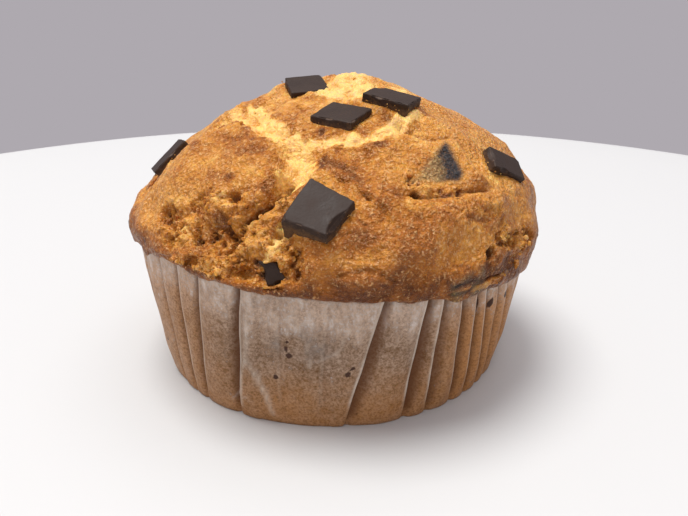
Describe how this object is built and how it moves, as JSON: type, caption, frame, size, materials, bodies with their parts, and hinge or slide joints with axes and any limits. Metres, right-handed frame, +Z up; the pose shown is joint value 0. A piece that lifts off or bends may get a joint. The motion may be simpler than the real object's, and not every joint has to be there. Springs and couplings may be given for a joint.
{
  "type": "muffin",
  "caption": "Domed chocolate chunk muffin with a cracked golden crust, in a pleated greaseproof paper case.",
  "frame": {"origin": "centre of the flat underside of the paper case", "axes": "+Z up, -Y towards the side with the broad smooth paper panel, +X to the right seen from that side"},
  "size_m": [0.0745, 0.0751, 0.0517],
  "materials": {
    "crust": "matt baked crust",
    "paper": "satin greaseproof paper",
    "chocolate": "satin dark chocolate"
  },
  "bodies": {
    "root": {"cake": "crust", "paper_case": "paper", "chunk_top_left": "chocolate", "chunk_top_middle": "chocolate", "chunk_top_right": "chocolate", "chunk_far_left": "chocolate", "chunk_front": "chocolate", "chunk_far_right": "chocolate", "chunk_behind_top": "chocolate", "chunk_under_film": "chocolate", "chunk_by_paper": "chocolate", "chunk_low_right": "chocolate"}
  },
  "joints": []
}
